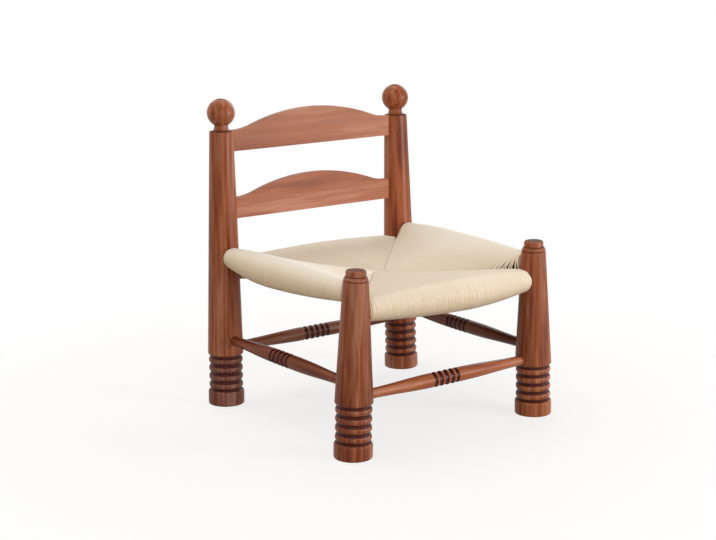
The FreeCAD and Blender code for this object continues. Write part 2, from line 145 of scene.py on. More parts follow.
# Shafts of the posts: height and radius at the lower end and at the upper end
SHAFT_BASE = (0.1234, 0.0418)
SHAFT_TOPS = {"front": (0.384, 0.0276), "rear": (0.645, 0.028)}

# Grooves of the feet, along the post from the floor, and of the stretchers, along the bar from
# the middle of its rings, which lies off the middle of the bar, are dark: partly their own stain and
# partly painted shade in the recess. Inside the dark radius a groove is dark, and outside the clear
# radius it is not.
FOOT_GROOVES = (0.0325, 0.1195)
FOOT_DARK_RADIUS = 0.0372
FOOT_CLEAR_RADIUS = 0.0392
STRETCHER_GROOVES_HALF = 0.0360
STRETCHER_DARK_RADIUS = 0.0157
STRETCHER_CLEAR_RADIUS = 0.0166
RING_OFFSETS = {"front": -0.012, "rear": -0.007, "left": 0.0115, "right": 0.0115}

# Lines of painted shade in the coves at the caps' collars and under the balls: place along the post, and
# half width.
# A line fades out between these two shares of its half width.
POST_SHADE_LINES = {
    "front": ((0.3853, 0.0014), (0.3946, 0.0014)),
    "rear": ((0.6462, 0.0022),),
}
SHADE_LINE_EDGE = (0.4, 1.6)
SHADE_LINE_DARKNESS = 0.5

# Colours of the wood, linear
WOOD_DEEP = (0.130, 0.022, 0.006)
WOOD_MIDDLE = (0.282, 0.077, 0.028)
WOOD_LIGHT = (0.412, 0.174, 0.106)
WOOD_GROOVE_STAIN_AND_SHADE = (0.046, 0.003, 0.001)
WOOD_END = (0.110, 0.046, 0.030)

# Painted light and shade multiply these colours piece by piece, each piece lighter or darker by how
# light falls on it, and a foot's painted light does so once more, up to where it fades out.
# Calm moves the slats' colours towards the middle one.
# Painted light per post: the front posts darker and the rear ones lighter, by how light falls on them
POST_PAINTED_LIGHT = {
    ("front", "left"): (0.82, 0.82, 0.82),
    ("front", "right"): (0.88, 0.88, 0.88),
    ("rear", "left"): (0.96, 0.97, 0.98),
    ("rear", "right"): (1.04, 1.04, 1.04),
}
# Painted light and shade on the feet: front feet lighter and rear feet darker, as light falls off
# towards the rear and under the seat
FOOT_PAINTED_LIGHT = {
    ("front", "left"): (1.33, 1.58, 1.95),
    ("front", "right"): (1.27, 1.46, 1.62),
    ("rear", "left"): (0.60, 0.66, 0.86),
    ("rear", "right"): (1.00, 1.12, 1.30),
}
FOOT_PAINTED_LIGHT_END = (0.117, 0.124)
# Painted light and shade per bar: the front bar lit, and the right stretcher darkened for the shade
# under the seat
BAR_PAINTED_LIGHT = {
    "front": (1.14, 1.20, 1.24),
    "rear": (0.68, 0.78, 0.90),
    "left": (0.66, 0.58, 0.52),
    "right": (0.46, 0.42, 0.38),
}
# Painted sheen on the slats: paler and less saturated, in place of the gloss of light on their faces
SLAT_PAINTED_SHEEN = (1.17, 1.30, 1.40)
SLAT_CALM = 0.30

# Seeds that give each piece its own stretch of grain, and the seeds' shares along the three axes
POST_SEEDS = {
    ("front", "left"): 1.3,
    ("front", "right"): 2.2,
    ("rear", "left"): 3.4,
    ("rear", "right"): 4.3,
}
BAR_SEEDS = {"front": 5.2, "rear": 6.0, "left": 6.8, "right": 7.6}
SLAT_SEEDS = {"upper_back_slat": 9.4, "lower_back_slat": 11.1}
SEED_SHIFT = (1.0, 0.7, 1.9)

# Noises of the grain: scales on the piece's own axes, the third one along the grain, detail and
# roughness
GRAIN_NOISES = {
    "broad": ((22, 22, 2.2), 3.0, 0.5),
    "streaks": ((140, 140, 6), 5.0, 0.62),
    "pores": ((900, 900, 28), 2.0, 0.5),
    "warp": ((9, 9, 1.6), 2.0, 0.5),
}

# Fine bands across the grain: turn of their sine in radians per metre, and how far the warp bends them
BAND_TURN = 520.0
BAND_WARP = 0.05

# What the noises add to the wood's tone, the range of tones from deep to light, and the dark pores
BROAD_SHARE = 0.75
STREAK_SHARE = 0.55
BAND_SHARE = 0.035
TONE_RANGE = (0.41, 0.87)
PORE_RANGE = (0.62, 0.78)
PORE_DARKNESS = 0.35

# Surface of the wood: end grain by how far a face turns to the grain, bump (strength and distance),
# and roughness over the range of the streaks
END_GRAIN_RANGE = (0.90, 0.98)
END_GRAIN_SHARE = 0.8
END_GRAIN_ROUGHNESS = 0.45
PORE_HEIGHT = -0.5
WOOD_BUMP = (0.12, 0.0004)
STREAK_RANGE = (0.3, 0.7)
WOOD_ROUGHNESS = (0.34, 0.46)
WOOD_SPECULAR = 0.2

# Paper cord: linear colours, noises (scale, detail, roughness), and twist in turns per metre
# Pale and tan are the cord's own range of tone, and also its painted lit and shaded sides
CORD_PALE = (0.780, 0.720, 0.645)
CORD_TAN = (0.725, 0.602, 0.446)
CORD_CREST_LIGHT = (0.850, 0.835, 0.815)
CORD_FIBRES = (900.0, 3.0, 0.6)
CORD_PATCHES = (16.0, 3.0, 0.5)
CORD_TWIST = 75.0
CORD_STRANDS = 3
# Painted shade in the grooves between the twisted strands: where it ends in the strand's wave, and how
# far it goes to tan
STRAND_GROOVE = 0.45
STRAND_SHADE = 0.15

# What makes a cord pale: its own tone, its patches, and painted light on its faces that turn up
CORD_TONE_SHARE = 0.34
CORD_PATCH_SHARE = 0.20
TOP_LIGHT_SHARE = 0.62
TOP_LIGHT_RANGE = (-0.35, 0.85)
SHADE_DROP = 0.06

# Painted highlight: the raised sides of the seat, where they face up, are paler, more and more between
# these two heights
CREST_LIGHT_HEIGHTS = (0.352, 0.394)
CREST_LIGHT_SHARE = 0.85

# Surface of the cord: bump (strength and distance), and how high the fibres stand in it
FIBRE_HEIGHT = 0.3
CORD_BUMP = (0.2, 0.0003)
CORD_ROUGHNESS = 0.52
CORD_SPECULAR = 0.6

# Hidden card and steel: linear colours, noises, bump and roughness
CARD_LIGHT = (0.460, 0.330, 0.200)
CARD_DARK = (0.300, 0.205, 0.120)
CARD_FIBRES = (260.0, 4.0, 0.6)
CARD_BUMP = (0.2, 0.0005)
CARD_ROUGHNESS = 0.9
STEEL_LIGHT = (0.600, 0.600, 0.620)
STEEL_DARK = (0.350, 0.350, 0.370)
STEEL_SCRATCHES = ((400, 400, 3000), 3.0, 0.5)
SCRATCH_RANGE = (0.3, 0.7)
STEEL_ROUGHNESS = (0.3, 0.5)

# Camera, fitted to the photograph's frame of 716 by 540 pixels
IMAGE_WIDTH = 716
FOCAL_PIXELS = 1619.05
SENSOR_WIDTH = 36.0
CAMERA_PLACE = Vector((-2.22746, -2.89374, 1.14323))
CAMERA_YAW = math.radians(-36.862)
CAMERA_PITCH = math.radians(12.569)
CAMERA_ROLL = math.radians(-0.116)

# Lamps: name, place, size, power and colour
LAMPS = (
    ("key_light", (2.04, -2.92, 0.72), 1.3, 88.0, (1.0, 0.985, 0.965)),
    ("top_light", (0, 0.9, 3.1), 2.4, 36.0, (1.0, 0.99, 0.98)),
    ("fill_light", (-2.16, -2.86, 0.70), 1.6, 30.0, (1.0, 0.95, 0.87)),
    ("rim_light", (2.60, 1.50, 1.45), 1.8, 22.0, (0.80, 0.92, 1.0)),
)
LIGHT_AIM = Vector((0, 0, 0.35))

# World, with the light it gives from its dim to its bright side
WHITE = (1.0, 1.0, 1.0)
WORLD_TINT = (1.0, 0.88, 0.68)
WORLD_DIM = 0.02
WORLD_BRIGHT = 0.82
WORLD_BRIGHT_SIDE = (-0.96, 0.0, 0.28)

# Floor: its colour to the eye and as a light, and its white glow, which is less near the chair and
# rises to full between the two reaches
FLOOR_HALF = 9.0
FLOOR_COLOR = (0.93, 0.93, 0.93)
FLOOR_BOUNCE = (0.18, 0.14, 0.10)
FLOOR_GLOW_NEAR = 0.75
FLOOR_SHADE_REACH = (0.45, 1.3)


class Graph:
    """Short way to write the nodes of one material or of the world."""

    def __init__(self, owner):
        owner.use_nodes = True
        self.owner = owner
        self.tree = owner.node_tree
        self.tree.nodes.clear()

    def node(self, kind, **settings):
        made = self.tree.nodes.new(kind)
        for key, value in settings.items():
            setattr(made, key, value)
        return made

    def feed(self, socket, value):
        """Link an output to a socket, or set the socket to a plain value."""
        if isinstance(value, bpy.types.NodeSocket):
            self.tree.links.new(value, socket)
        elif isinstance(value, tuple) and len(value) == 3 and socket.type == "RGBA":
            socket.default_value = value + (1.0,)
        else:
            socket.default_value = value

    def math(self, operation, first, second=0.0, third=0.0):
        made = self.node("ShaderNodeMath", operation=operation)
        for socket, value in zip(made.inputs, (first, second, third)):
            self.feed(socket, value)
        return made.outputs[0]

    def ramp(self, value, low, high, first=0.0, last=1.0):
        """Value taken smoothly from low..high to first..last."""
        made = self.node("ShaderNodeMapRange", interpolation_type="SMOOTHSTEP")
        for socket, number in zip(made.inputs, (value, low, high, first, last)):
            self.feed(socket, number)
        return made.outputs[0]

    def mix(self, factor, first, second, blend="MIX"):
        made = self.node("ShaderNodeMix", data_type="RGBA", blend_type=blend)
        self.feed(made.inputs[0], factor)
        self.feed(made.inputs[6], first)
        self.feed(made.inputs[7], second)
        return made.outputs[2]

    def noise(self, vector, scale, detail, roughness):
        made = self.node("ShaderNodeTexNoise")
        self.feed(made.inputs["Vector"], vector)
        self.feed(made.inputs["Scale"], scale)
        self.feed(made.inputs["Detail"], detail)
        self.feed(made.inputs["Roughness"], roughness)
        return made.outputs["Fac"]

    def vector(self, operation, first, second):
        """Node that works on two vectors."""
        made = self.node("ShaderNodeVectorMath", operation=operation)
        self.feed(made.inputs[0], first)
        self.feed(made.inputs[1], second)
        return made

    def stretched_noise(self, vector, scales, detail, roughness):
        """Noise with its own scale along each axis."""
        return self.noise(self.vector("MULTIPLY", vector, scales).outputs[0], 1.0, detail, roughness)

    def dot(self, first, second):
        return self.vector("DOT_PRODUCT", first, second).outputs["Value"]

    def split(self, vector):
        made = self.node("ShaderNodeSeparateXYZ")
        self.feed(made.inputs[0], vector)
        return made.outputs

    def bump(self, height, strength, distance):
        made = self.node("ShaderNodeBump")
        self.feed(made.inputs["Strength"], strength)
        self.feed(made.inputs["Distance"], distance)
        self.feed(made.inputs["Height"], height)
        return made.outputs[0]

    def place(self):
        """Place in the frame of the solids."""
        return self.node("ShaderNodeTexCoord").outputs["Object"]

    def normal(self):
        return self.node("ShaderNodeNewGeometry").outputs["Normal"]

    def finish(self, color, roughness, normal=None, **settings):
        """Principled shader with the given colour, roughness and constant settings."""
        shader = self.node("ShaderNodeBsdfPrincipled")
        self.feed(shader.inputs["Base Color"], color)
        self.feed(shader.inputs["Roughness"], roughness)
        if normal is not None:
            self.feed(shader.inputs["Normal"], normal)
        for key, value in settings.items():
            self.feed(shader.inputs[key.replace("_", " ")], value)
        output = self.node("ShaderNodeOutputMaterial")
        self.tree.links.new(shader.outputs[0], output.inputs[0])
        return self.owner


def dress(piece, material):
    piece.data.materials.clear()
    piece.data.materials.append(material)


def add_object(name, data):
    made = bpy.data.objects.new(name, data)
    bpy.context.scene.collection.objects.link(made)
    return made


# Places read from the frame

def end_middle(name, axis, way):
    """Middle of the end of a CAD bar, towards way along X (0), Y (1) or Z (2)."""
    places = [vertex.co for vertex in nodes[name].data.vertices]
    edge = max(way * place[axis] for place in places)
    near = [place for place in places if way * place[axis] > edge - END_DEPTH]
    low = Vector([min(place[side] for place in near) for side in range(3)])
    high = Vector([max(place[side] for place in near) for side in range(3)])
    return (low + high) / 2


def corner_points():
    """Plan points where the sections' corners meet, by the ends of the woven solids."""
    found = {}
    for end, way in (("front", 0), ("rear", 1)):
        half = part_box(end + "_seat_weave")[1].x
        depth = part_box("left_seat_weave")[way].y
        found[end, "left"] = Vector((-half, depth, 0))
        found[end, "right"] = Vector((half, depth, 0))
    return found


CORNERS = corner_points()
SEAT_CENTER = Vector((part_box("left_seat_weave")[1].x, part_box("front_seat_weave")[1].y, 0))
CROSS_RAIL_HEIGHT = end_middle("front_seat_rail", 0, 1).z


# Wood

def with_painted_light(color, painted_light, calm):
    """Colour moved towards the middle wood by calm, then multiplied by the piece's painted light and
    shade.
    """
    even = Vector(color).lerp(Vector(WOOD_MIDDLE), calm)
    return tuple(part * share for part, share in zip(even, painted_light))


def piece_axes(graph, start, direction):
    """Place in a piece's own axes, with Z along direction from start, and its Z and radius there."""
    turned = graph.node("ShaderNodeMapping", vector_type="TEXTURE")
    graph.feed(turned.inputs["Vector"], graph.place())
    turned.inputs["Location"].default_value = start
    turned.inputs["Rotation"].default_value = direction.to_track_quat("Z", "Y").to_euler()
    local = turned.outputs[0]
    x, y, along = graph.split(local)
    squares = graph.math("ADD", graph.math("MULTIPLY", x, x), graph.math("MULTIPLY", y, y))
    return local, along, graph.math("POWER", squares, 0.5)


def grain_noises(graph, local, seed):
    """Noises and bands of the grain, in the piece's own axes."""
    grain = graph.vector("ADD", local, tuple(seed * share for share in SEED_SHIFT)).outputs[0]
    noises = {name: graph.stretched_noise(grain, *settings) for name, settings in GRAIN_NOISES.items()}
    bent = graph.math("MULTIPLY_ADD", noises["warp"], BAND_WARP, graph.split(grain)[0])
    noises["bands"] = graph.math("SINE", graph.math("MULTIPLY", bent, BAND_TURN))
    return noises


def grain_color(graph, noises, painted_light, calm):
    """Wood from deep to light by the tone of its grain, with darker pores."""
    deep, middle, light = (with_painted_light(color, painted_light, calm) for color in (WOOD_DEEP, WOOD_MIDDLE, WOOD_LIGHT))
    tone = graph.math("MULTIPLY", noises["broad"], BROAD_SHARE)
    tone = graph.math("MULTIPLY_ADD", noises["streaks"], STREAK_SHARE, tone)
    tone = graph.math("MULTIPLY_ADD", noises["bands"], BAND_SHARE, tone)
    tone = graph.ramp(tone, *TONE_RANGE)
    color = graph.mix(graph.ramp(tone, 0.0, 0.5), deep, middle)
    color = graph.mix(graph.ramp(tone, 0.5, 1.0), color, light)
    return graph.mix(graph.ramp(noises["pores"], *PORE_RANGE, 0.0, PORE_DARKNESS), color, deep)


def dark_share(graph, along, radius, dark_bands, shade_lines):
    """How dark the wood is in its grooves, by their stain and by painted shade, and in its lines of
    painted shade.

    A dark band is (low, high, dark radius, clear radius): between low and high along the axis,
    wood nearer to the axis than the dark radius is dark. A dark line is (place, half width)."""
    dark = 0.0
    for low, high, dark_radius, clear_radius in dark_bands:
        above = graph.math("GREATER_THAN", along, low)
        below = graph.math("LESS_THAN", along, high)
        inside = graph.math("MULTIPLY", above, below)
        near = graph.ramp(radius, dark_radius, clear_radius, 1.0, 0.0)
        dark = graph.math("MAXIMUM", graph.math("MULTIPLY", inside, near), dark)
    # Painted shade in the coves
    for line, half in shade_lines:
        off = graph.math("ABSOLUTE", graph.math("SUBTRACT", along, line))
        core, edge = (half * share for share in SHADE_LINE_EDGE)
        dark = graph.math("MAXIMUM", graph.ramp(off, core, edge, SHADE_LINE_DARKNESS, 0.0), dark)
    return dark


def wood_material(name, start, direction, painted_light, seed, calm=0.0,
                  foot_painted_light=None, dark_bands=(), shade_lines=()):
    """Wood with its grain along direction; places along and off that axis are from start."""
    graph = Graph(bpy.data.materials.new(name))
    local, along, radius = piece_axes(graph, start, direction)
    noises = grain_noises(graph, local, seed)
    color = grain_color(graph, noises, painted_light, calm)
    # Painted light and shade on the foot, fading out up the post
    if foot_painted_light:
        foot_lit_color = graph.mix(1.0, color, foot_painted_light, "MULTIPLY")
        color = graph.mix(graph.ramp(along, *FOOT_PAINTED_LIGHT_END), foot_lit_color, color)
    facing_end = graph.math("ABSOLUTE", graph.dot(graph.normal(), direction.normalized()))
    end_grain = graph.ramp(facing_end, *END_GRAIN_RANGE, 0.0, END_GRAIN_SHARE)
    color = graph.mix(end_grain, color, WOOD_END)
    if dark_bands or shade_lines:
        dark = dark_share(graph, along, radius, dark_bands, shade_lines)
        # Dark stain and painted shade in the grooves, and painted shade in the lines
        color = graph.mix(dark, color, WOOD_GROOVE_STAIN_AND_SHADE)
    height = graph.math("MULTIPLY_ADD", noises["pores"], PORE_HEIGHT, noises["streaks"])
    normal = graph.bump(height, *WOOD_BUMP)
    roughness = graph.ramp(noises["streaks"], *STREAK_RANGE, *WOOD_ROUGHNESS)
    roughness = graph.math("MULTIPLY_ADD", end_grain, END_GRAIN_ROUGHNESS, roughness)
    return graph.finish(color, roughness, normal, Specular_IOR_Level=WOOD_SPECULAR)


def dress_posts():
    foot_band = FOOT_GROOVES + (FOOT_DARK_RADIUS, FOOT_CLEAR_RADIUS)
    for end, side in POST_PAINTED_LIGHT:
        name = end + "_" + side + "_post"
        foot = FEET[end + "_" + side + "_foot"]
        top = end_middle(name, 2, 1)
        material = wood_material(
            "wood_" + name, foot, top - foot, POST_PAINTED_LIGHT[end, side], POST_SEEDS[end, side],
            foot_painted_light=FOOT_PAINTED_LIGHT[end, side],
            dark_bands=[foot_band],
            shade_lines=POST_SHADE_LINES[end],
        )
        dress(nodes[name], material)


def dress_bars():
    """Stretchers and the hidden seat rails."""
    for place in PLACES:
        axis = 0 if place in ("front", "rear") else 1
        low = RING_OFFSETS[place] - STRETCHER_GROOVES_HALF
        high = RING_OFFSETS[place] + STRETCHER_GROOVES_HALF
        rings = [(low, high, STRETCHER_DARK_RADIUS, STRETCHER_CLEAR_RADIUS)]
        for kind, bands in (("stretcher", rings), ("seat_rail", [])):
            name = place + "_" + kind
            first = end_middle(name, axis, -1)
            last = end_middle(name, axis, 1)
            material = wood_material(
                "wood_" + name, (first + last) / 2, last - first, BAR_PAINTED_LIGHT[place], BAR_SEEDS[place],
                dark_bands=bands,
            )
            dress(nodes[name], material)


def dress_slats():
    for name, seed in SLAT_SEEDS.items():
        low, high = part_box(name)
        middle = (low + high) / 2
        dress(nodes[name], wood_material("wood_" + name, middle, ALONG_X, SLAT_PAINTED_SHEEN, seed, SLAT_CALM))


# Hidden card and tacks

def card_material():
    graph = Graph(bpy.data.materials.new("packing_card"))
    fibres = graph.noise(graph.place(), *CARD_FIBRES)
    color = graph.mix(fibres, CARD_DARK, CARD_LIGHT)
    return graph.finish(color, CARD_ROUGHNESS, graph.bump(fibres, *CARD_BUMP))


def steel_material():
    graph = Graph(bpy.data.materials.new("tack_steel"))
    scratches = graph.stretched_noise(graph.place(), *STEEL_SCRATCHES)
    color = graph.mix(scratches, STEEL_DARK, STEEL_LIGHT)
    roughness = graph.ramp(scratches, *SCRATCH_RANGE, *STEEL_ROUGHNESS)
    return graph.finish(color, roughness, Metallic=1.0)


def dress_hidden():
    card = card_material()
    for place in PLACES:
        dress(nodes[place + "_seat_packing"], card)
    dress(nodes["cord_tacks"], steel_material())


# Woven seat

def cord_material():
    """Twisted paper cord; the map runs along a cord (metres) and once round it."""
    graph = Graph(bpy.data.materials.new("paper_cord"))
    along, around, _ = graph.split(graph.node("ShaderNodeUVMap", uv_map="cord").outputs[0])
    tone = graph.node("ShaderNodeAttribute", attribute_name="tone").outputs["Fac"]
    place = graph.place()
    twist = graph.math("MULTIPLY_ADD", along, CORD_TWIST, around)
    wave = graph.math("SINE", graph.math("MULTIPLY", twist, CORD_STRANDS * math.pi))
    strand = graph.math("ABSOLUTE", wave)
    fibres = graph.noise(place, *CORD_FIBRES)
    patches = graph.noise(place, *CORD_PATCHES)
    # Painted light: faces that turn up are paler, faces that turn down are tan
    lit_from_above = graph.ramp(graph.split(graph.normal())[2], *TOP_LIGHT_RANGE)
    shade = graph.math("MULTIPLY", patches, CORD_PATCH_SHARE)
    shade = graph.math("MULTIPLY_ADD", tone, CORD_TONE_SHARE, shade)
    shade = graph.math("SUBTRACT", shade, SHADE_DROP)
    shade = graph.math("MULTIPLY_ADD", lit_from_above, TOP_LIGHT_SHARE, shade)
    color = graph.mix(shade, CORD_TAN, CORD_PALE)
    # Painted highlight on the crests of the raised sides
    crest_light = graph.ramp(graph.split(place)[2], *CREST_LIGHT_HEIGHTS, 0.0, CREST_LIGHT_SHARE)
    color = graph.mix(graph.math("MULTIPLY", crest_light, lit_from_above), color, CORD_CREST_LIGHT)
    # Painted shade in the grooves between strands
    groove = graph.ramp(strand, 0.0, STRAND_GROOVE, STRAND_SHADE, 0.0)
    color = graph.mix(groove, color, CORD_TAN)
    height = graph.math("MULTIPLY_ADD", fibres, FIBRE_HEIGHT, strand)
    normal = graph.bump(height, *CORD_BUMP)
    return graph.finish(color, CORD_ROUGHNESS, normal, Specular_IOR_Level=CORD_SPECULAR)


class Shaft:
    """Tapering shaft of a post, which the cord is kept clear of."""

    def __init__(self, end, side):
        self.foot = FEET[end + "_" + side + "_foot"]
        self.top = end_middle(end + "_" + side + "_post", 2, 1)
        self.taper = SHAFT_TOPS[end]

    def clearance(self, place):
        """Level distance from a place to the shaft's surface."""
        middle = self.foot.lerp(self.top, (place.z - self.foot.z) / (self.top.z - self.foot.z))
        share = (place.z - SHAFT_BASE[0]) / (self.taper[0] - SHAFT_BASE[0])
        radius = SHAFT_BASE[1] + (self.taper[1] - SHAFT_BASE[1]) * share
        return (place - middle).length - radius


class Section:
    """One woven section: the cord over one rail, between its two corners and the middle of the seat."""

    def __init__(self, place, inward, ends, roll, cords):
        self.name = place + "_seat_weave"
        self.inward = Vector(inward)
        self.axis = 0 if inward[0] == 0 else 1
        self.along_way = ALONG_X if self.axis == 0 else ALONG_Y
        rail = place + "_seat_rail"
        self.rail_first = end_middle(rail, self.axis, -1)
        self.rail_last = end_middle(rail, self.axis, 1)
        self.corners = [CORNERS[end] for end in ends]
        self.shafts = [Shaft(*end) for end in ends]
        self.bowed = ends[0] == BOWED_SEAM
        self.roll = roll
        self.cords = cords
        middle = (self.corners[0][self.axis] + self.corners[1][self.axis]) / 2
        self.belly = middle + BELLY_OFFSETS[place]

    def end_share(self, along):
        """0 at the roll's fullest place and 1 at its ends."""
        end = self.corners[0] if along < self.belly else self.corners[1]
        share = (along - self.belly) / (end[self.axis] - self.belly)
        return min(share, 1.0) ** ROLL_TAPER_POWER

    def roll_point(self, along):
        """Middle of the wound roll, which hangs below the rail's axis."""
        span = self.rail_last - self.rail_first
        rail = self.rail_first + span * ((along - self.rail_first[self.axis]) / span[self.axis])
        return rail - UP * self.roll["sag"] * (1 - self.end_share(along))

    def roll_radius(self, along):
        end_radius = self.roll["first"] if along < self.belly else self.roll["last"]
        return self.roll["belly"] - (self.roll["belly"] - end_radius) * self.end_share(along)

    def bow(self, share):
        """How much further and how much higher a cord ends at the bowed seam than at a straight one."""
        way = self.corners[0] - SEAT_CENTER
        beside = Vector((way.y, -way.x, 0)).normalized()
        place = share
        for _ in range(SEAM_BOW_ROUNDS):
            place = share - beside[self.axis] * seam_bow(place) / way[self.axis]
        off = seam_bow(place)
        return (way * (place - share) + beside * off).dot(self.inward), off * SEAM_BOW_SLOPE


class Cord:
    """One turn of cord in its upright slice: up at the seam, round the rail and back to the seam."""

    def __init__(self, section, fraction, lift, radius, gap):
        axis = section.axis
        corner = section.corners[0] if fraction < 0 else section.corners[1]
        share = abs(fraction)
        straight = seam_point(corner, share)
        above = seam_point(corner, fanned(share))
        below = seam_point(corner, fanned(share + corner_share(share) / section.cords))
        self.fans = {1: (above - straight)[axis], -1: (below - straight)[axis]}
        self.rail = section.roll_point(straight[axis])
        self.turn = section.roll_radius(straight[axis]) - radius + lift
        spare = radius + gap * share ** 2
        further, higher = section.bow(share) if section.bowed and fraction < 0 else (0.0, 0.0)
        self.reaches = {
            1: (above - self.rail).dot(section.inward) - spare + further,
            -1: (below - self.rail).dot(section.inward) - spare,
        }
        rise = (SEAM_CORNER_RISE - SEAM_CENTER_RISE) * share ** SEAM_CURVE_POWER
        top = CROSS_RAIL_HEIGHT + SEAM_CENTER_RISE + rise - self.rail.z
        self.top = top - radius + lift + higher
        self.bottom = top - SEAM_THICKNESS + radius - lift

    def leave_angle(self, height, way):
        """Angle on the roll at which the cord leaves it for the seam; way is 1 at the top."""
        reach = self.reaches[way]
        distance = math.hypot(reach, height)
        return math.atan2(height, reach) + way * math.acos(min(self.turn / distance, 1.0))

    def tuck(self, height, leave, way):
        """Points from inside the seat, up or down into the layer, at the seam; way is 1 at the top."""
        edge = Vector((self.reaches[way], height))
        run = (leave - edge).normalized()
        begin = edge - Vector((0, way * CORD_BEND))
        end = edge + run * CORD_BEND
        points = [begin - Vector((0, way * CORD_TUCK))]
        for step in range(BEND_STEPS + 1):
            share = step / BEND_STEPS
            points.append(begin * (1 - share) ** 2 + edge * (2 * share * (1 - share)) + end * share ** 2)
        return points

    def path(self):
        """Points (out from the rail's axis, height above it) of the turn, and its upper run's length."""
        top_angle = self.leave_angle(self.top, 1)
        bottom_angle = self.leave_angle(self.bottom, -1) + 2 * math.pi
        roll = []
        for step in range(ROLL_STEPS + 1):
            angle = top_angle + (bottom_angle - top_angle) * step / ROLL_STEPS
            roll.append(Vector((math.cos(angle), math.sin(angle))) * self.turn)
        above = self.tuck(self.top, roll[0], 1)
        below = self.tuck(self.bottom, roll[-1], -1)
        below.reverse()
        first_run = [above[-1].lerp(roll[0], step / RUN_STEPS) for step in range(1, RUN_STEPS)]
        last_run = [roll[-1].lerp(below[0], step / RUN_STEPS) for step in range(1, RUN_STEPS)]
        return above + first_run + roll + last_run + below, (above[-1] - roll[0]).length


def seam_point(corner, share):
    """Plan point on a straight seam, at a share of the way from the seat's middle to a corner."""
    return SEAT_CENTER + (corner - SEAT_CENTER) * share


def seam_bow(share):
    """How far the bowed seam lies off its straight line, at a share of the way to its corner."""
    return SEAM_BOW * share / SEAM_BOW_PEAK * math.exp(1 - share / SEAM_BOW_PEAK)


def corner_share(share):
    """0 along most of a seam, rising to 1 at its corner."""
    return max((share - FAN_START) / (1 - FAN_START), 0.0)


def fanned(share):
    """Where the seam end of a cord lies that passes the roll at this share of the way to the corner."""
    return share + FAN_REACH * corner_share(share) ** 2


def distances(path):
    """Length of the path up to each of its points."""
    lengths = [0.0]
    for before, after in zip(path, path[1:]):
        lengths.append(lengths[-1] + (after - before).length)
    return lengths


def cord_fractions(count):
    """Places of the cords from the first corner (-1) to the last (1), half a cord inside both."""
    return [(2 * number + 1 - count) / count for number in range(count)]


def paired(section, number):
    """How far a side cord near the front post leans to its partner, from -1 to 1, or 0."""
    if section.axis == 0 or number >= PAIRED_CORDS:
        return 0.0
    strength = (1.0 - number / PAIRED_CORDS) ** PAIR_POWER
    return strength if number % 2 == 0 else -strength


class Tubes:
    """Points, faces and cord map of many tubes of cord in one mesh."""

    def __init__(self):
        self.points = []
        self.faces = []
        self.lengths = []
        self.tones = []

    def add_ring(self, middle, out, beside, radius, length, tone):
        """One ring of points round middle, in the plane of out and beside."""
        for side in range(CORD_SIDES):
            angle = 2 * math.pi * side / CORD_SIDES
            self.points.append(middle + (out * math.cos(angle) + beside * math.sin(angle)) * radius)
            self.tones.append(tone)
        self.lengths.append(length)

    def join(self, here, there):
        """Faces between two rings, by their numbers."""
        for side in range(CORD_SIDES):
            beside = (side + 1) % CORD_SIDES
            first = here * CORD_SIDES
            last = there * CORD_SIDES
            self.faces.append((first + side, last + side, last + beside, first + beside))

    def close(self, ring, facing_back):
        """Flat end on a ring."""
        sides = range(CORD_SIDES) if facing_back else reversed(range(CORD_SIDES))
        self.faces.append(tuple(ring * CORD_SIDES + side for side in sides))

    def skin(self, first_ring):
        """Faces along an open tube, from its first ring to the last one made, and its two ends."""
        last_ring = len(self.lengths) - 1
        for ring in range(first_ring, last_ring):
            self.join(ring, ring + 1)
        self.close(first_ring, True)
        self.close(last_ring, False)


def add_cord(section, number, fraction, draw, tubes):
    """One turn of cord over the rail, with small seeded faults in place, height and thickness."""
    radius = CORD_RADIUS * (1 + draw.uniform(-1, 1) * CORD_RADIUS_JITTER)
    lift = draw.uniform(-1, 0) * CORD_HEIGHT_JITTER
    shift = draw.uniform(-1, 1) * CORD_PLACE_JITTER
    sway = draw.uniform(-1, 1) * CORD_SWAY
    phase = draw.uniform(0, 2 * math.pi)
    tone = draw.random()
    begin = draw.random()
    gap = SEAM_GAP + draw.uniform(-1, 1) * SEAM_GAP_JITTER
    lean = paired(section, number)
    cord = Cord(section, fraction, lift, radius, gap)
    path, run_length = cord.path()
    fade = max(run_length, FAN_LENGTH)
    lengths = distances(path)
    first_ring = len(tubes.lengths)
    last = len(path) - 1
    for step, spot in enumerate(path):
        run = (path[min(step + 1, last)] - path[max(step - 1, 0)]).normalized()
        out = section.inward * -run.y + UP * run.x
        from_seam = min(lengths[step], lengths[-1] - lengths[step])
        near_seam = max(1 - from_seam / fade, 0.0)
        way = 1 if 2 * lengths[step] < lengths[-1] else -1
        slip = shift + sway * near_seam * math.sin(phase + CORD_SWAY_TURN * near_seam)
        slip += cord.fans[way] * near_seam ** FAN_POWER + way * lean * PAIR_SHIFT * near_seam
        thick = radius * (1 - (1 - PAIR_THINNING) * abs(lean) * near_seam)
        middle = cord.rail + section.inward * spot.x + UP * spot.y + section.along_way * slip
        tubes.add_ring(middle, out, section.along_way, thick, begin + lengths[step], tone)
    tubes.skin(first_ring)


